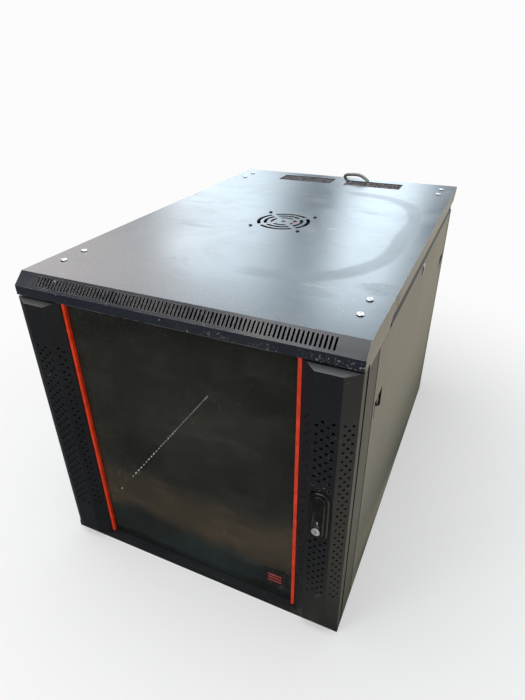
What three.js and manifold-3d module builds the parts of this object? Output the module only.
// Network rack cabinet, 12 units high, with a glass front door, lift-off side panels and a roof fan.
// Millimetres. While it is being built: x from the centre plane, y from the front lip towards the
// rear, z from the underside. The finished group is moved so that y = 0 is the middle of the roof.

import * as THREE from "three";
import { mergeVertices } from "three/addons/utils/BufferGeometryUtils.js";
import Module from "manifold-3d";

const wasm = await Module();
wasm.setup();

// ---------------------------------------------------------------- driving dimensions

const width = 600;
const depth = 908;
const height = 604;
const sheet = 1.5;
const heavySheet = 2;
const seam = 0.3;
const clearance = 0.4;
const flatness = 0.005;
const halfWidth = width / 2;

const roof = {
  chamferRun: 21,
  chamferDrop: 19.4,
  lip: 36,
  lipReturn: 18,
  sideFlange: 44,
  trimmedFlange: 29,
  trimStart: 140,
  trimEnd: 155,
  rearHem: 8,
  rearCut: 46,
};
const lipBottom = height - roof.lip;
const chamferBottom = height - roof.chamferDrop;
const roofSlots = { margin: 42, pitch: 6.56, width: 3.3, length: 19 };
const roofScrews = { inset: 33, radius: 2.5, front: [85, 137], fromRear: [102, 51] };

const base = { rise: 9, sill: 15, ledge: 16 };
const body = { rearRecess: 58, rearInset: 15, panelRecess: 8 };
const bodyRear = depth - body.rearRecess;
const rearPanelFace = depth - body.panelRecess;

const door = {
  sillGap: 1,
  lipGap: 3,
  sideGap: 1,
  outerFacet: 23,
  flatFacet: 40.5,
  innerFacet: 22,
  proud: 11.5,
  outerFront: 1,
  innerFront: 5.5,
  back: 21,
  backFold: 41,
  backStep: 3,
  backLip: 10,
  capSlope: 4.5,
  cap: 6,
  postGap: 3.5,
};
const doorBottom = base.sill + door.sillGap;
const doorTop = lipBottom - door.lipGap;
const doorOuter = halfWidth - door.sideGap;
const foldOuter = doorOuter - door.outerFacet;
const foldInner = foldOuter - door.flatFacet;
const doorInner = foldInner - door.innerFacet;
// Each facet's columns of ventilation holes, in from the strip's outer edge, and each hole's radius.
const perforation = {
  pitch: 16,
  fromTop: 84,
  fromBottom: 86,
  outer: { radius: 2.2, columns: [5.7, 10.9, 16.3] },
  flat: { radius: 2.8, columns: [31.4, 39, 47.5, 56] },
  inner: { radius: 2.2, columns: [71.1, 77.6] },
};
const glass = { front: 13, thickness: 5, grip: 24.5 };
const glassHalf = doorInner + glass.grip;
const trim = { gap: 1.5, width: 6, front: 7 };
const hinge = { inset: 10, y: 10, radius: 3, reach: 9 };
const hingeX = -(halfWidth - hinge.inset);

const post = { front: door.back + door.postGap, side: 55.5, frontFlange: 15, innerFlange: 38 };
const postBack = post.front + post.side;
const rearPost = { side: 18, innerFlange: 30 };
const rearPostFront = bodyRear - rearPost.side;
const rearVents = { rows: [150, 450], count: 12, pitch: 30, width: 6, length: 60 };

const side = { frontGap: 5, rearGap: 4, bottomGap: 1, flange: 12, bevel: 13, bevelFront: 160 };
const sideFront = postBack + side.frontGap;
const sideRear = rearPostFront - side.rearGap;
const sideBottom = base.rise + side.bottomGap;

const lock = { inset: 45, bottom: 248, length: 100, width: 33.5, plinth: 5, round: 1.6 };
const lockX = halfWidth - lock.inset;
const lockTop = lock.bottom + lock.length;
const lever = { foot: 14, head: 4, width: 24, thickness: 7.5, spindleDrop: 18, keyRise: 27, slope: 16 };
const spindleZ = lockTop - lever.spindleDrop;
const keyZ = lock.bottom + lever.keyRise;
const spindleRadius = 5;
const camPlate = { front: 28, thickness: 3, half: 7, short: 1 };
const keyRadius = 7;

const unit = 44.45;
const rail = {
  inset: 75,
  face: 19,
  web: 30,
  bottom: 34,
  headroom: 36,
  behindPost: 15,
  aheadOfRear: 112,
  hole: 9.5,
  holeInset: 7.55,
};
const units = Math.floor((height - rail.bottom - rail.headroom) / unit);
const railTop = rail.bottom + units * unit;
const railInner = halfWidth - rail.inset;
const railOuter = railInner + rail.face;
const depthBars = { thickness: 2.5, tall: 30, foot: 6, head: 9.4 };

const fan = { y: 449, size: 120, depth: 38, rim: 3, screwInset: 7.5, hub: 27, blades: 7 };
const fanBore = fan.size / 2 - fan.rim;
const fanScrewPitch = fan.size / 2 - fan.screwInset;
const fanGrille = { rings: [[21, 28], [35, 42.6], [49, 57]], hub: 5, spoke: 10 };
const entry = { inner: 19, outer: 167, fromRear: [91, 33], leadX: 75, leadFromFront: 45 };
const entryY = entry.fromRear.map((distance) => depth - distance);

const sideLock = { y: 451, drop: 62, rimY: 9, rimZ: 12, sleeve: 7.5, barrel: 5 };
const sideLockZ = height - sideLock.drop;
const latch = { drop: 164, half: 8, beyondGuide: 2, guide: 7, thickness: 4.5, short: 1 };
const latchZ = height - latch.drop;
const notch = { near: 10.5, slot: 4, far: 58, low: -20, high: 17, toGuide: 9 };
const badge = { fromStrip: 42.5, z: 66, half: 23, thickness: 0.8 };
const plug = { neck: 22, neckWall: 1.4, body: [15, 10.5, 32], collar: [12, 8, 17], wall: 1.4, pin: [1, 2] };
const leadClip = { half: 9, long: 8, drop: 17.2, below: 7, behindFan: 111, aheadOfEntry: 97 };

const leadDiameter = 8.6;
const innerLead = [
  [60.6, 470, 585],
  [68.6, 470, 585],
  [86.6, 474.8, 585],
  [99.8, 488, 585],
  [104.6, 506, 585],
  [104.6, 560, 585],
  [104.6, 640, 585],
  [104.6, 720, 585],
  [104.6, 778.8, 585],
  [104, 796, 585],
  [101.5, 812, 585.1],
  [96.5, 826, 585.3],
  [90, 838, 586],
  [84, 848.4, 587.8],
  [78.6, 856.4, 591.2],
  [75.6, 861, 597],
  [75, 862, 603],
];
const outerLead = [
  [75, 862, 603.6],
  [74.5, 862.3, 608],
  [72.4, 863.6, 612.6],
  [68, 866.2, 616.4],
  [62, 869.5, 618.6],
  [54.4, 873.2, 619.6],
  [44, 878.2, 619.6],
  [31.7, 884.6, 618.4],
  [20, 891.6, 616.2],
  [9, 899.8, 613.6],
  [0, 908.9, 610.2],
  [-5.6, 916.8, 603],
  [-8, 920.6, 591],
  [-8, 924, 575],
  [-5, 927, 548],
  [0, 928.4, 515],
  [4, 928.6, 478],
  [5, 928, 440],
  [5, 927, 330],
  [5, 926, 220],
  [5, 926, 110],
  [5, 926, 50],
  [5, 928.6, 28],
  [5, 936.6, 14.8],
  [5, 948, 7],
  [5, 962, 4.5],
  [5, 965, 4.4],
];
const tailLead = [
  [-79.3, 1049.3, 12.9],
  [-92, 1049.3, 12.7],
  [-110, 1049.3, 11.8],
  [-128, 1049.3, 11],
  [-139, 1049.3, 10.8],
];
const coil = { x: -48.3, y: 996, middle: 98, across: 2, layers: 2 };

// ---------------------------------------------------------------- shapes and joining

function solidOf(geometry) {
  const bare = geometry.clone();
  bare.deleteAttribute("normal");
  bare.deleteAttribute("uv");
  const merged = mergeVertices(bare, 1e-4);
  return new wasm.Manifold(new wasm.Mesh({
    numProp: 3,
    vertProperties: new Float32Array(merged.attributes.position.array),
    triVerts: new Uint32Array(merged.index.array),
  }));
}

// Flat faces are rebuilt from the fewest triangles before a solid becomes a mesh.
function geometryOf(solid) {
  const mesh = solid.asOriginal().simplify(flatness).getMesh();
  const geometry = new THREE.BufferGeometry();
  geometry.setAttribute("position", new THREE.BufferAttribute(mesh.vertProperties, 3));
  geometry.setIndex(new THREE.BufferAttribute(mesh.triVerts, 1));
  geometry.computeVertexNormals();
  return geometry;
}

function box(x, y, z) {
  const size = [x, y, z].map(([from, to]) => Math.abs(to - from));
  const middle = [x, y, z].map(([from, to]) => (from + to) / 2);
  return solidOf(new THREE.BoxGeometry(...size).translate(...middle));
}

// The direction of an outline's two axes and of its depth, for a prism along x, y or z.
const prismFrames = {
  x: [new THREE.Vector3(0, 1, 0), new THREE.Vector3(0, 0, 1), new THREE.Vector3(1, 0, 0)],
  y: [new THREE.Vector3(0, 0, 1), new THREE.Vector3(1, 0, 0), new THREE.Vector3(0, 1, 0)],
  z: [new THREE.Vector3(1, 0, 0), new THREE.Vector3(0, 1, 0), new THREE.Vector3(0, 0, 1)],
};

// An outline of (y, z), (x, z) or (x, y) points, drawn out along x, y or z.
function prism(axis, outline, from, to) {
  const flat = outline.map(([u, v]) => (axis === "y" ? new THREE.Vector2(v, u) : new THREE.Vector2(u, v)));
  const start = Math.min(from, to);
  const geometry = new THREE.ExtrudeGeometry(new THREE.Shape(flat), {
    depth: Math.abs(to - from),
    bevelEnabled: false,
  });
  geometry.translate(0, 0, start);
  geometry.applyMatrix4(new THREE.Matrix4().makeBasis(...prismFrames[axis]));
  return solidOf(geometry);
}

function circle(u, v, radius, sides = 16) {
  const points = [];
  for (let i = 0; i < sides; i += 1) {
    const angle = (2 * Math.PI * (i + 0.5)) / sides;
    points.push([u + radius * Math.cos(angle), v + radius * Math.sin(angle)]);
  }
  return points;
}

function oval(u, v, radiusU, radiusV, sides = 20) {
  return circle(0, 0, 1, sides).map(([a, b]) => [u + a * radiusU, v + b * radiusV]);
}

function rod(axis, [u, v], radius, from, to, sides = 16) {
  return prism(axis, circle(u, v, radius, sides), from, to);
}

function roundedRectangle(u, v, radius, sides = 6) {
  const points = [];
  const corners = [[u[1], v[1], 0], [u[0], v[1], 1], [u[0], v[0], 2], [u[1], v[0], 3]];
  for (const [cornerU, cornerV, quarter] of corners) {
    const centreU = cornerU - radius * Math.sign(cornerU - (u[0] + u[1]) / 2);
    const centreV = cornerV - radius * Math.sign(cornerV - (v[0] + v[1]) / 2);
    for (let i = 0; i <= sides; i += 1) {
      const angle = (Math.PI / 2) * (quarter + i / sides);
      points.push([centreU + radius * Math.cos(angle), centreV + radius * Math.sin(angle)]);
    }
  }
  return points;
}

// Moves an open or closed path to its left by a distance, with mitred corners.
function offset(points, distance, closed) {
  const last = points.length - 1;
  const leftOf = (from, to) => {
    const length = Math.hypot(to[0] - from[0], to[1] - from[1]);
    return [-(to[1] - from[1]) / length, (to[0] - from[0]) / length];
  };
  return points.map((point, i) => {
    const before = i > 0 ? points[i - 1] : (closed ? points[last] : null);
    const after = i < last ? points[i + 1] : (closed ? points[0] : null);
    const first = leftOf(before ?? point, before ? point : after);
    const second = leftOf(after ? point : before, after ?? point);
    const share = distance / (1 + first[0] * second[0] + first[1] * second[1]);
    return [point[0] + (first[0] + second[0]) * share, point[1] + (first[1] + second[1]) * share];
  });
}

// The closed outline of a sheet folded along a path, with the sheet on the path's left.
function folded(path, thickness) {
  return [...path, ...offset(path, thickness, false).reverse()];
}

function join(solids) {
  return solids.reduce((whole, piece) => whole.add(piece));
}

const finishes = {
  powderCoat: { color: 0x24272b, roughness: 0.45, metalness: 0.3 },
  panelCoat: { color: 0x6f6c62, roughness: 0.4, metalness: 0.3 },
  zinc: { color: 0xb9bbbd, roughness: 0.35, metalness: 0.9 },
  blackPlastic: { color: 0x16171a, roughness: 0.4, metalness: 0 },
  redTrim: { color: 0xc81e05, roughness: 0.4, metalness: 0 },
  smokedGlass: { color: 0x2a2e2a, roughness: 0.08, metalness: 0 },
  rubber: { color: 0x1a1a1a, roughness: 0.8, metalness: 0 },
  bristle: { color: 0x5a5258, roughness: 0.95, metalness: 0 },
  greyCord: { color: 0x6c6f73, roughness: 0.6, metalness: 0 },
};

const cabinet = new THREE.Group();

function place(name, solid, finish) {
  const geometry = solid.isBufferGeometry ? solid : geometryOf(solid);
  const material = new THREE.MeshStandardMaterial({ ...finishes[finish], flatShading: true });
  const mesh = new THREE.Mesh(geometry, material);
  mesh.name = name;
  cabinet.add(mesh);
}

const sides = { left: -1, right: 1 };

// ---------------------------------------------------------------- base

function basePanel() {
  const rearHalf = halfWidth - body.rearInset;
  const plan = [
    [-halfWidth, 0],
    [halfWidth, 0],
    [halfWidth, bodyRear],
    [rearHalf, bodyRear],
    [rearHalf, rearPanelFace],
    [-rearHalf, rearPanelFace],
    [-rearHalf, bodyRear],
    [-halfWidth, bodyRear],
  ];
  const tray = prism("z", plan, 0, base.rise)
    .subtract(prism("z", offset(plan, sheet, true), sheet, base.rise + 1));
  const sillPath = [[base.ledge, base.rise], [base.ledge, base.sill], [0, base.sill], [0, 0]];
  const sill = prism("x", folded(sillPath, sheet), -halfWidth, halfWidth);
  const sillEnds = Object.values(sides).map((hand) =>
    box([hand * (halfWidth - sheet), hand * halfWidth], [0, base.ledge], [0, base.sill]));
  const pinHole = rod("z", [hingeX, hinge.y], hinge.radius + clearance, sheet + 1, base.sill + 1, 12);
  return join([tray, sill, ...sillEnds]).subtract(pinHole);
}

place("base_panel", basePanel(), "powderCoat");

// ---------------------------------------------------------------- roof

function roofSkin() {
  const path = [
    [roof.lipReturn, lipBottom],
    [0, lipBottom],
    [0, chamferBottom],
    [roof.chamferRun, height],
    [depth, height],
    [depth, height - roof.rearHem],
  ];
  return prism("x", folded(path, -sheet), -halfWidth, halfWidth);
}

function roofFlange(hand) {
  const low = height - roof.sideFlange;
  const trimmed = height - roof.trimmedFlange;
  const outline = [
    [0, lipBottom],
    [post.front, lipBottom],
    [post.front, low],
    [roof.trimStart, low],
    [roof.trimEnd, trimmed],
    [depth - roof.rearCut * (1 - roof.rearHem / roof.sideFlange), trimmed],
    [depth, height - roof.rearHem],
    [depth, height],
    [roof.chamferRun, height],
    [0, chamferBottom],
  ];
  return prism("x", outline, hand * (halfWidth - sheet), hand * halfWidth);
}

// Slots through the chamfer, square to its face.
function roofSlotCutters() {
  const length = Math.hypot(roof.chamferRun, roof.chamferDrop);
  const along = [roof.chamferRun / length, roof.chamferDrop / length];
  const across = [-along[1], along[0]];
  const corner = (share, rise) => [
    roof.chamferRun / 2 + along[0] * share * roofSlots.length + across[0] * rise,
    height - roof.chamferDrop / 2 + along[1] * share * roofSlots.length + across[1] * rise,
  ];
  const reach = 2 * sheet;
  const outline = [corner(-0.5, -reach), corner(0.5, -reach), corner(0.5, reach), corner(-0.5, reach)];
  const count = 1 + Math.floor((width - 2 * roofSlots.margin - roofSlots.width) / roofSlots.pitch);
  const cutters = [];
  for (let i = 0; i < count; i += 1) {
    const middle = (i - (count - 1) / 2) * roofSlots.pitch;
    cutters.push(prism("x", outline, middle - roofSlots.width / 2, middle + roofSlots.width / 2));
  }
  return cutters;
}

// Ring-shaped openings over the fan, held together by four diagonal spokes.
function fanGrilleCutters() {
  const centre = [0, fan.y];
  const low = height - 2 * sheet;
  const high = height + 1;
  const reach = fanGrille.rings[2][1] + 5;
  const bar = prism("z", [
    [-reach, -fanGrille.spoke / 2],
    [reach, -fanGrille.spoke / 2],
    [reach, fanGrille.spoke / 2],
    [-reach, fanGrille.spoke / 2],
  ], low - 1, high + 1);
  const spokes = [45, 135].map((turn) => bar.rotate([0, 0, turn]).translate([...centre, 0]));
  const rings = fanGrille.rings.map(([inner, outer]) =>
    rod("z", centre, outer, low, high, 32).subtract(rod("z", centre, inner, low - 1, high + 1, 32)));
  const openings = rings.map((ring) => ring.subtract(join(spokes)));
  return [...openings, rod("z", centre, fanGrille.hub, low, high)];
}

const fanCorners = [[-1, -1], [1, -1], [-1, 1], [1, 1]].map(([u, v]) => [
  u * fanScrewPitch,
  fan.y + v * fanScrewPitch,
]);
const roofScrewX = halfWidth - roofScrews.inset;
const rearScrewY = roofScrews.fromRear.map((distance) => depth - distance);

function roofPanel() {
  const openings = Object.values(sides).map((hand) =>
    box([hand * entry.inner, hand * entry.outer], entryY, [height - 2 * sheet, height + 1]));
  const screwHoles = [...roofScrews.front, ...rearScrewY].flatMap((y) =>
    Object.values(sides).map((hand) =>
      rod("z", [hand * roofScrewX, y], roofScrews.radius + clearance, height - 2 * sheet, height + 1, 12)));
  const fanHoles = fanCorners.map((corner) => rod("z", corner, 2.6, height - 2 * sheet, height + 1, 10));
  const pinHole = rod("z", [hingeX, hinge.y], hinge.radius + clearance, lipBottom - 1, lipBottom + 3, 12);
  const shell = join([roofSkin(), roofFlange(-1), roofFlange(1)]);
  return shell.subtract(join([
    ...roofSlotCutters(),
    ...fanGrilleCutters(),
    ...openings,
    ...screwHoles,
    ...fanHoles,
    pinHole,
  ]));
}

place("top_panel", roofPanel(), "powderCoat");

// ---------------------------------------------------------------- posts

const postBottom = base.rise + seam;
const postTop = height - roof.sideFlange - seam;
const roofUnder = height - sheet - seam;

// A tongue behind the roof's flange and a tab under the roof, where its two screws go in.
function roofTab(hand, tongueY, screwY) {
  const outerX = halfWidth - sheet - seam;
  const tongue = box([hand * (outerX - heavySheet), hand * outerX], tongueY, [postTop - 30, roofUnder]);
  const link = box([hand * (outerX - heavySheet), hand * halfWidth], tongueY, [postTop - 30, postTop]);
  const reachY = [Math.min(tongueY[0], screwY[0] - 10), Math.max(tongueY[1], screwY[1] + 10)];
  const tab = box([hand * (roofScrewX - 12), hand * outerX], reachY, [roofUnder - heavySheet, roofUnder]);
  const holes = screwY.map((y) =>
    rod("z", [hand * roofScrewX, y], roofScrews.radius + clearance, roofUnder - 4, roofUnder + 1, 12));
  return join([tongue, link, tab]).subtract(join(holes));
}

function frontPost(hand) {
  const path = [
    [hand * (halfWidth - post.frontFlange), post.front],
    [hand * halfWidth, post.front],
    [hand * halfWidth, postBack],
    [hand * (halfWidth - post.innerFlange), postBack],
  ];
  const channel = prism("z", folded(path, hand * heavySheet), postBottom, postTop);
  return channel.add(roofTab(hand, [post.front, postBack - heavySheet], roofScrews.front));
}

function backPost(hand) {
  const inset = halfWidth - body.rearInset;
  const path = [
    [hand * (halfWidth - rearPost.innerFlange), rearPostFront],
    [hand * halfWidth, rearPostFront],
    [hand * halfWidth, bodyRear],
    [hand * inset, bodyRear],
    [hand * inset, rearPanelFace - sheet - seam],
  ];
  const channel = prism("z", folded(path, hand * heavySheet), postBottom, postTop);
  const tongueY = [rearPostFront + heavySheet, bodyRear - heavySheet];
  return channel.add(roofTab(hand, tongueY, rearScrewY));
}

for (const [name, hand] of Object.entries(sides)) {
  place(`front_post_${name}`, frontPost(hand), "powderCoat");
  place(`rear_post_${name}`, backPost(hand), "powderCoat");
}

// ---------------------------------------------------------------- rear panel

function rearPanelPlate() {
  const half = halfWidth - body.rearInset;
  const faceY = [rearPanelFace - sheet, rearPanelFace];
  const foldY = [rearPanelFace - 20, rearPanelFace];
  const foldHalf = half - heavySheet - clearance;
  const folds = [[postBottom, postBottom + sheet], [roofUnder - sheet, roofUnder]].map((z) =>
    box([-foldHalf, foldHalf], foldY, z));
  const cutters = [];
  for (const z of rearVents.rows) {
    for (let i = 0; i < rearVents.count; i += 1) {
      const x = (i - (rearVents.count - 1) / 2) * rearVents.pitch;
      cutters.push(box(
        [x - rearVents.width / 2, x + rearVents.width / 2],
        [faceY[0] - 1, faceY[1] + 1],
        [z - rearVents.length / 2, z + rearVents.length / 2],
      ));
    }
  }
  const plate = box([-half, half], faceY, [postBottom, roofUnder]);
  return join([plate, ...folds]).subtract(join(cutters));
}

place("rear_panel", rearPanelPlate(), "powderCoat");

// ---------------------------------------------------------------- side panels

const panelTop = postTop - seam;
const panelOf = (hand) => [hand * (halfWidth - sheet), hand * halfWidth];
const panelMiddleY = (sideFront + sideRear) / 2;

// A pull at a panel's edge: a slim upright slot that opens into a slanted finger hole.
function notchOutline(atFront) {
  const near = sideFront + notch.near;
  const far = sideFront + notch.far;
  const inner = near + notch.slot;
  const low = latchZ + notch.low;
  const high = latchZ + notch.high;
  const outline = [
    [near, low + 4],
    [inner, low + 4],
    [inner, latchZ + 7],
    [(near + far) / 2, latchZ - 7],
    [far, low],
    [far, high],
    [near, high - 2],
  ];
  return atFront ? outline : outline.map(([y, z]) => [2 * panelMiddleY - y, z]);
}

// The places along y of a latch's tongue tip, tail and guide, at the front or the rear edge.
function latchPlaces(atFront) {
  const stop = atFront ? postBack : rearPostFront;
  const inward = atFront ? 1 : -1;
  const tip = stop + inward * latch.short;
  const guide = tip + inward * (notch.far + notch.toGuide);
  return { tip, tail: guide + inward * (latch.guide + latch.beyondGuide), guide, inward };
}

function latchGuide(hand, atFront) {
  const { guide, inward } = latchPlaces(atFront);
  const back = halfWidth - sheet - clearance - latch.thickness - 1.5;
  const z = latch.half + clearance;
  const outer = box(
    [hand * (back - clearance - 1.5), hand * (halfWidth - sheet / 2)],
    [guide, guide + inward * latch.guide],
    [latchZ - z - 2, latchZ + z + 2],
  );
  const inner = box(
    [hand * (back - clearance), hand * (halfWidth - sheet)],
    [guide - 10, guide + inward * latch.guide + 10],
    [latchZ - z, latchZ + z],
  );
  return outer.subtract(inner);
}

function sidePanel(hand) {
  const flangeX = [hand * (halfWidth - side.flange), hand * halfWidth];
  const skin = box(panelOf(hand), [sideFront, sideRear], [sideBottom, panelTop]);
  const edges = [[sideFront, sideFront + sheet], [sideRear - sheet, sideRear]].map((y) =>
    box(flangeX, y, [sideBottom, panelTop]));
  const foot = box(flangeX, [sideFront, sideRear], [sideBottom, sideBottom + sheet]);
  const bevelPath = [
    [hand * halfWidth, panelTop - 3],
    [hand * halfWidth, panelTop],
    [hand * (halfWidth - 0.7 * side.bevel), panelTop + side.bevel],
  ];
  const bevel = prism("y", folded(bevelPath, hand * sheet), side.bevelFront, sideRear);
  const latchX = halfWidth - sheet - clearance;
  const tongueHoles = [true, false].map((atFront) => {
    const { tip, inward } = latchPlaces(atFront);
    const y = [tip, tip + inward * 9];
    const z = [latchZ - latch.half - clearance, latchZ + latch.half + clearance];
    return box([hand * (latchX - latch.thickness - 2), hand * (latchX - 1)], y, z);
  });
  const notches = [true, false].map((atFront) =>
    prism("x", notchOutline(atFront), hand * (halfWidth - sheet - 0.5), hand * (halfWidth + 1)));
  const lockHole = rod("x", [sideLock.y, sideLockZ], sideLock.sleeve + clearance,
    hand * (halfWidth - 3), hand * (halfWidth + 1));
  return join([skin, ...edges, foot, bevel, latchGuide(hand, true), latchGuide(hand, false)])
    .subtract(join([...tongueHoles, ...notches, lockHole]));
}

function latchSlide(hand, atFront) {
  const { tip, tail, inward } = latchPlaces(atFront);
  const outer = halfWidth - sheet - clearance - 1.5;
  const bar = box(
    [hand * (outer - latch.thickness), hand * outer],
    [tip, tail],
    [latchZ - latch.half, latchZ + latch.half],
  );
  const ribY = tip + inward * 40;
  const rib = box(
    [hand * (outer - 1), hand * (outer + 1.5)],
    [ribY, ribY + inward * 12],
    [latchZ - latch.half + 2, latchZ + latch.half - 2],
  );
  return bar.add(rib);
}

function lockRim(hand) {
  const face = [hand * (halfWidth + seam), hand * (halfWidth + seam + 1.2)];
  const rim = prism("x", oval(sideLock.y, sideLockZ, sideLock.rimY, sideLock.rimZ), ...face);
  const centre = [sideLock.y, sideLockZ];
  const sleeve = rod("x", centre, sideLock.sleeve, hand * (halfWidth - 10), face[0] + hand * 0.5);
  const bore = rod("x", centre, sideLock.barrel + clearance, hand * (halfWidth - 12), hand * (halfWidth + 3));
  return rim.add(sleeve).subtract(bore);
}

function keyedBarrel(axis, centre, radius, back, front, slotAlongSecond) {
  const barrel = rod(axis, centre, radius, back, front);
  const depthOfSlot = 2.5 * Math.sign(back - front);
  const slot = slotAlongSecond ? [0.7, radius * 0.6] : [radius * 0.6, 0.7];
  const outline = [
    [centre[0] - slot[0], centre[1] - slot[1]],
    [centre[0] + slot[0], centre[1] - slot[1]],
    [centre[0] + slot[0], centre[1] + slot[1]],
    [centre[0] - slot[0], centre[1] + slot[1]],
  ];
  return barrel.subtract(prism(axis, outline, front + depthOfSlot, front - Math.sign(back - front)));
}

// The turning part of a side lock, with the flat cam that reaches up behind the roof's edge.
function sideBarrel(hand) {
  const barrel = keyedBarrel("x", [sideLock.y, sideLockZ], sideLock.barrel,
    hand * (halfWidth - 17), hand * (halfWidth + 1.8), true);
  const camTop = height - roof.trimmedFlange - 1.5;
  const cam = box([hand * (halfWidth - 16), hand * (halfWidth - 13.5)],
    [sideLock.y - 6, sideLock.y + 6], [sideLockZ - 6, camTop]);
  return barrel.add(cam);
}

for (const [name, hand] of Object.entries(sides)) {
  place(`side_panel_${name}`, sidePanel(hand), "panelCoat");
  place(`side_lock_rim_${name}`, lockRim(hand), "zinc");
  place(`side_lock_barrel_${name}`, sideBarrel(hand), "zinc");
  place(`side_latch_${name}_front`, latchSlide(hand, true), "blackPlastic");
  place(`side_latch_${name}_rear`, latchSlide(hand, false), "blackPlastic");
}

// ---------------------------------------------------------------- rack rails

// An angle with square cage-nut holes, three to a rack unit. Its web points away from its face.
function rackRail(hand, faceY, inward) {
  const face = box([hand * railInner, hand * railOuter], [faceY, faceY + inward * heavySheet],
    [rail.bottom, railTop]);
  const web = box([hand * (railOuter - heavySheet), hand * railOuter], [faceY, faceY + inward * rail.web],
    [rail.bottom, railTop]);
  const holeX = railInner + rail.holeInset;
  const cutters = [];
  for (let i = 0; i < units; i += 1) {
    for (const share of [1 / 7, 1 / 2, 6 / 7]) {
      const z = rail.bottom + (i + share) * unit;
      cutters.push(box(
        [hand * (holeX - rail.hole / 2), hand * (holeX + rail.hole / 2)],
        [faceY - inward, faceY + inward * (heavySheet + 1)],
        [z - rail.hole / 2, z + rail.hole / 2],
      ));
    }
  }
  return face.add(web).subtract(join(cutters));
}

// A flat bar from the front post to the rear post, with an outward tab at each end.
function depthBar(hand, low) {
  const inner = hand * (railOuter + seam);
  const tab = hand * (halfWidth - side.flange - 4);
  const front = postBack + seam;
  const rear = rearPostFront - seam;
  const path = [[tab, front], [inner, front], [inner, rear], [tab, rear]];
  return prism("z", folded(path, -hand * depthBars.thickness), low, low + depthBars.tall);
}

for (const [name, hand] of Object.entries(sides)) {
  place(`rack_rail_front_${name}`, rackRail(hand, postBack + rail.behindPost, 1), "zinc");
  place(`rack_rail_rear_${name}`, rackRail(hand, rearPostFront - rail.aheadOfRear, -1), "zinc");
  place(`depth_bar_lower_${name}`, depthBar(hand, rail.bottom + depthBars.foot), "powderCoat");
  place(`depth_bar_upper_${name}`, depthBar(hand, railTop - depthBars.head - depthBars.tall), "powderCoat");
}

// ---------------------------------------------------------------- roof fan

const fanBottom = roofUnder - fan.depth;

function fanFrame() {
  const half = fan.size / 2;
  const outline = roundedRectangle([-half, half], [fan.y - half, fan.y + half], 5, 2);
  const centre = [0, fan.y];
  const shell = prism("z", outline, fanBottom, roofUnder)
    .subtract(rod("z", centre, fanBore, fanBottom - 1, roofUnder + 1, 32));
  const hub = rod("z", centre, fan.hub + 1, fanBottom, fanBottom + 4, 20);
  const strut = box([-fanBore - 1, fanBore + 1], [-2.5, 2.5], [fanBottom, fanBottom + 4]);
  const struts = [20, 110].map((turn) => strut.rotate([0, 0, turn]).translate([...centre, 0]));
  const holes = fanCorners.map((corner) => rod("z", corner, 2.6, fanBottom - 1, roofUnder + 1, 10));
  return join([shell, hub, ...struts]).subtract(join(holes));
}

function fanRotor() {
  const centre = [0, fan.y];
  const hub = rod("z", centre, fan.hub, fanBottom + 5, roofUnder - 2, 20);
  const middle = (fanBottom + roofUnder) / 2 + 1;
  const blade = box([fan.hub - 2, fanBore - 2.5], [-13, 13], [-0.9, 0.9]).rotate([32, 0, 0]);
  const blades = [];
  for (let i = 0; i < fan.blades; i += 1) {
    blades.push(blade.rotate([0, 0, (360 * i) / fan.blades]).translate([...centre, middle]));
  }
  return join([hub, ...blades]);
}

function screwHead([x, y], radius, low, tall) {
  const profile = [
    [0, 0],
    [radius, 0],
    [radius, tall * 0.35],
    [radius * 0.75, tall * 0.85],
    [radius * 0.4, tall],
    [0, tall],
  ].map(([r, z]) => new THREE.Vector2(r, z));
  const geometry = new THREE.LatheGeometry(profile, 16);
  geometry.rotateX(Math.PI / 2).translate(x, y, low);
  const cross = [[radius * 0.5, 0.6], [0.6, radius * 0.5]].map(([u, v]) =>
    box([x - u, x + u], [y - v, y + v], [low + tall * 0.5, low + tall + 1]));
  return solidOf(geometry).subtract(join(cross));
}

place("fan_frame", fanFrame(), "blackPlastic");
place("fan_rotor", fanRotor(), "blackPlastic");
fanCorners.forEach((corner, i) => {
  const head = screwHead(corner, 4, height + seam, 2);
  const shank = rod("z", corner, 2.2, roofUnder - 12, height + seam + 0.5, 10);
  place(`fan_screw_${i + 1}`, head.add(shank), "blackPlastic");
});

// ---------------------------------------------------------------- roof screws

// Two screws in one nut plate, which clamps the roof to a post's tab.
function screwPair(hand, screwY) {
  const x = hand * roofScrewX;
  const plateTop = roofUnder - heavySheet - seam;
  const plate = box([x - 10, x + 10], [screwY[0] - 9, screwY[1] + 9], [plateTop - 5, plateTop]);
  const screws = screwY.flatMap((y) => [
    screwHead([x, y], 6, height + seam, 2.8),
    rod("z", [x, y], roofScrews.radius, plateTop - 7, height + seam + 0.5, 12),
  ]);
  return join([plate, ...screws]);
}

for (const [name, hand] of Object.entries(sides)) {
  place(`roof_screws_front_${name}`, screwPair(hand, roofScrews.front), "zinc");
  place(`roof_screws_rear_${name}`, screwPair(hand, rearScrewY), "zinc");
}

// ---------------------------------------------------------------- cable entries

function cableBrush(hand) {
  const carrierTop = roofUnder;
  const carrier = box([hand * (entry.inner - 5), hand * (entry.outer + 5)],
    [entryY[0] - 4, entryY[1] + 4], [carrierTop - 4, carrierTop]);
  const block = box([hand * (entry.inner + clearance), hand * (entry.outer - clearance)],
    [entryY[0] + clearance, entryY[1] - clearance], [carrierTop - 1, height - clearance]);
  const whole = carrier.add(block);
  if (hand === sides.left) {
    return whole;
  }
  const leadPlace = [entry.leadX + 2, entryY[0] + entry.leadFromFront - 2];
  const opening = rod("z", leadPlace, 1.2 * leadDiameter, carrierTop - 5, height + 1);
  return whole.subtract(opening);
}

place("cable_brush_left", cableBrush(sides.left), "bristle");
place("cable_brush_right", cableBrush(sides.right), "bristle");

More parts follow.
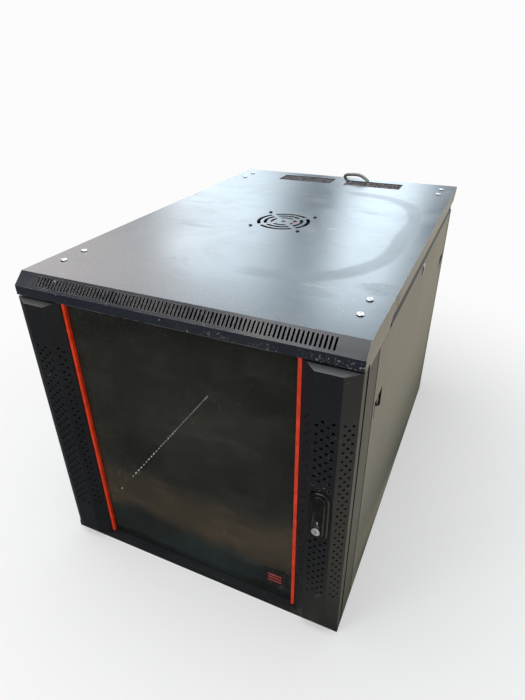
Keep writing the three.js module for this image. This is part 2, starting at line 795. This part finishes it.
// ---------------------------------------------------------------- door

function stripOutline() {
  return [
    [doorInner, door.innerFront],
    [foldInner, -door.proud],
    [foldOuter, -door.proud],
    [doorOuter, door.outerFront],
    [doorOuter, door.back],
    [doorOuter - door.backFold, door.back],
    [doorOuter - door.backFold, door.back - door.backStep],
    [glassHalf + 1, door.back - door.backStep],
    [glassHalf + 1, glass.front - seam],
    [doorInner, glass.front - seam],
  ];
}

// One facet's staggered rows of square holes, set on their corners and cut square to the facet.
function perforationCutters(hand, facet, from, to, lowered) {
  const length = Math.hypot(to[0] - from[0], to[1] - from[1]);
  const along = [(to[0] - from[0]) / length, (to[1] - from[1]) / length];
  const normal = [along[1], -along[0]];
  const rows = 1 + Math.floor((doorTop - doorBottom - perforation.fromTop - perforation.fromBottom)
    / perforation.pitch);
  const half = facet.radius * Math.sqrt(Math.PI / 2);
  const cutters = [];
  facet.columns.forEach((inset, column) => {
    const share = (doorOuter - inset - from[0]) / along[0];
    const middle = [from[0] + along[0] * share, from[1] + along[1] * share];
    const ends = [-1, 1].map((step) => middle.map((value, i) => value + normal[i] * step * 2 * sheet));
    for (let row = 0; row < rows; row += 1) {
      const drop = ((column + lowered) % 2) / 2;
      const z = doorTop - perforation.fromTop - (row + drop) * perforation.pitch;
      const points = ends.flatMap(([x, y]) => [
        [hand * (x + along[0] * half), y + along[1] * half, z],
        [hand * (x - along[0] * half), y - along[1] * half, z],
        [hand * x, y, z + half],
        [hand * x, y, z - half],
      ]);
      cutters.push(wasm.Manifold.hull(points));
    }
  });
  return cutters;
}

// A vertical facetted cover of sheet steel, closed at both ends and open towards the cabinet.
function doorStrip(hand) {
  const mirrored = (points) => points.map(([x, y]) => [hand * x, y]);
  const outer = stripOutline();
  const inner = offset(outer, sheet, true);
  const shell = prism("z", mirrored(outer), doorBottom, doorTop)
    .subtract(prism("z", mirrored(inner), doorBottom + door.cap, doorTop - door.cap));
  const mouth = box([hand * (glassHalf + 1 + door.backLip), hand * (doorOuter - door.backLip)],
    [door.back - door.backStep - 4, door.back + 1], [doorBottom + door.cap, doorTop - door.cap]);
  const reach = [hand * (doorInner - 1), hand * (doorOuter + 1)];
  const slopes = [[doorTop, -1], [doorBottom, 1]].map(([end, inward]) => prism("x", [
    [-door.proud - 1, end + inward * door.capSlope],
    [door.outerFront, end],
    [door.outerFront, end - inward],
    [-door.proud - 1, end - inward],
  ], ...reach));
  const cutters = [
    mouth,
    ...slopes,
    ...perforationCutters(hand, perforation.inner, outer[0], outer[1], 0),
    ...perforationCutters(hand, perforation.flat, outer[1], outer[2], 0),
    ...perforationCutters(hand, perforation.outer, outer[2], outer[3], 0),
  ];
  if (hand === sides.left) {
    cutters.push(rod("z", [hingeX, hinge.y], hinge.radius + clearance, doorBottom - 1, doorTop + 1, 12));
  } else {
    cutters.push(rod("y", [lockX, spindleZ], spindleRadius + clearance, -door.proud - 1, door.back + 1));
  }
  return shell.subtract(join(cutters));
}

function redTrim(hand) {
  const outer = doorInner - trim.gap;
  const x = [hand * (outer - trim.width), hand * outer];
  return box(x, [trim.front, glass.front - seam], [doorBottom + 2, doorTop]);
}

// A flat bar on the door's back that holds the glass against a strip.
function glassClamp(hand) {
  const back = glass.front + glass.thickness + seam;
  const x = [hand * (glassHalf - 18), hand * (glassHalf + 10)];
  return box(x, [back, back + heavySheet], [doorBottom + 20, doorTop - 20]);
}

for (const [name, hand] of Object.entries(sides)) {
  place(`door_strip_${name}`, doorStrip(hand), "powderCoat");
  place(`door_trim_${name}`, redTrim(hand), "redTrim");
  place(`glass_clamp_${name}`, glassClamp(hand), "zinc");
}
const paneX = [-glassHalf, glassHalf];
const paneY = [glass.front, glass.front + glass.thickness];
place("door_glass", box(paneX, paneY, [doorBottom, doorTop]), "smokedGlass");
const badgeX = [doorInner - badge.fromStrip - badge.half, doorInner - badge.fromStrip + badge.half];
const badgeY = [glass.front - seam - badge.thickness, glass.front - seam];
place("door_badge", box(badgeX, badgeY, [badge.z - badge.half, badge.z + badge.half]), "blackPlastic");

// A headed pin through the roof's return or the sill's ledge, into the door strip's cap.
function hingePin(seat, outward) {
  const centre = [hingeX, hinge.y];
  const head = rod("z", centre, hinge.radius + 1.2, seat, seat + outward * 2, 12);
  const pin = rod("z", centre, hinge.radius, seat - outward * (hinge.reach + sheet), seat + outward, 12);
  return head.add(pin);
}

place("hinge_pin_upper", hingePin(lipBottom + sheet + seam, 1), "zinc");
place("hinge_pin_lower", hingePin(base.sill - sheet - seam, -1), "zinc");

// ---------------------------------------------------------------- door lock

const plinthFace = -door.proud - seam - lock.plinth;
const leverBack = plinthFace - clearance;
const leverFace = leverBack - lever.thickness;

function lockPlinth() {
  const half = lock.width / 2;
  const steps = [[0, lock.plinth - lock.round], [1.2, lock.plinth]];
  const layers = steps.map(([inset, tall]) => prism(
    "y",
    roundedRectangle(
      [lockX - half + inset, lockX + half - inset],
      [lock.bottom + inset, lockTop - inset],
      half - 2,
    ),
    -door.proud - seam,
    -door.proud - seam - tall,
  ));
  const bore = rod("y", [lockX, spindleZ], spindleRadius + clearance, -door.proud + 1, plinthFace - 1);
  return join(layers).subtract(bore);
}

// The spindle through the strip, with the cam that turns behind the post's front flange.
function lockSpindle() {
  const centre = [lockX, spindleZ];
  const shaft = rod("y", centre, spindleRadius, plinthFace, camPlate.front + camPlate.thickness);
  const cam = box([lockX - camPlate.half, halfWidth - post.frontFlange - camPlate.short],
    [camPlate.front, camPlate.front + camPlate.thickness],
    [spindleZ - camPlate.half, spindleZ + camPlate.half]);
  return shaft.add(cam);
}

function lockLever() {
  const half = lever.width / 2;
  const bottom = lock.bottom + lever.foot;
  const top = lockTop - lever.head;
  const blank = prism(
    "y",
    roundedRectangle([lockX - half, lockX + half], [bottom, top], half - 1),
    leverBack,
    leverFace,
  );
  const bevel = prism("x", [
    [leverFace - 1, top - lever.slope],
    [leverFace, top - lever.slope],
    [leverBack - 2, top + 1],
    [leverFace - 1, top + 1],
  ], lockX - half - 1, lockX + half + 1);
  const barrelHole = rod("y", [lockX, keyZ], keyRadius + clearance, leverBack + 1, leverFace - 1, 20);
  return blank.subtract(join([bevel, barrelHole]));
}

place("lock_plinth", lockPlinth(), "blackPlastic");
place("lock_spindle", lockSpindle(), "zinc");
place("lock_lever", lockLever(), "blackPlastic");
place("key_barrel", keyedBarrel("y", [lockX, keyZ], keyRadius, leverBack, leverFace - 0.6, true), "zinc");

// ---------------------------------------------------------------- fan lead and its plug

function cordTube(points, sectionSides) {
  const curve = new THREE.CatmullRomCurve3(points.map((point) => new THREE.Vector3(...point)));
  const section = new THREE.Shape(circle(0, 0, leadDiameter / 2, sectionSides).map(([u, v]) =>
    new THREE.Vector2(u, v)));
  const steps = Math.ceil(curve.getLength() / (2.4 * leadDiameter));
  return solidOf(new THREE.ExtrudeGeometry(section, { steps: Math.max(steps, 4), extrudePath: curve }));
}

function leadCoil() {
  const inner = coil.middle / 2 - (coil.across / 2) * leadDiameter;
  const outer = coil.middle / 2 + (coil.across / 2) * leadDiameter;
  const top = coil.layers * leadDiameter;
  const corners = [[inner, 0.1], [outer, 0.1], [outer, top], [inner, top], [inner, 0.1]];
  const profile = corners.map(([r, z]) => new THREE.Vector2(r, z));
  const geometry = new THREE.LatheGeometry(profile, 40);
  geometry.rotateX(Math.PI / 2).translate(coil.x, coil.y, 0);
  return solidOf(geometry);
}

// An appliance plug lying on the floor: strain relief, body, and a collar round three flat pins.
function leadPlug() {
  const [endX, y, z] = tailLead[tailLead.length - 1];
  const start = endX - seam;
  const block = ([halfY, halfZ], corner, from, to) =>
    prism("x", roundedRectangle([y - halfY, y + halfY], [z - halfZ, z + halfZ], corner, 2), from, to);
  const neckEnd = start - plug.neck;
  const bodyEnd = neckEnd + 2 - plug.body[2];
  const collarEnd = bodyEnd + 1 - plug.collar[2];
  const neck = prism("x", circle(y, z, leadDiameter / 2 + plug.neckWall, 12), start, neckEnd);
  const bodyBlock = block(plug.body, 3, neckEnd + 2, bodyEnd);
  const collar = block(plug.collar, 2, bodyEnd + 1, collarEnd);
  const hollow = block(plug.collar.map((value) => value - plug.wall), 1, bodyEnd - 1, collarEnd - 1);
  const pins = [[0, 3], [-7, -2], [7, -2]].map(([dy, dz]) => box(
    [bodyEnd + 2, collarEnd + 2],
    [y + dy - plug.pin[0], y + dy + plug.pin[0]],
    [z + dz - plug.pin[1], z + dz + plug.pin[1]],
  ));
  return join([neck, bodyBlock, collar]).subtract(hollow).add(join(pins));
}

// A saddle under the roof with the lead passing through it.
function saddle(y) {
  const [x] = innerLead[6];
  const z = roofUnder - leadClip.drop;
  const half = leadClip.long / 2;
  const blockX = [x - leadClip.half, x + leadClip.half];
  const block = box(blockX, [y - half, y + half], [z - leadClip.below, roofUnder]);
  return block.subtract(rod("y", [x, z], leadDiameter / 2 + clearance, y - half - 1, y + half + 1));
}

place("fan_lead", cordTube(innerLead, 8), "greyCord");
place("lead_clip_1", saddle(fan.y + leadClip.behindFan), "blackPlastic");
place("lead_clip_2", saddle(entryY[0] - leadClip.aheadOfEntry), "blackPlastic");
place("mains_lead", cordTube(outerLead, 10), "greyCord");
place("mains_lead_coil", leadCoil(), "greyCord");
place("mains_lead_tail", cordTube(tailLead, 10), "greyCord");
place("mains_plug", leadPlug(), "blackPlastic");

cabinet.position.set(0, -depth / 2, 0);

export default cabinet;
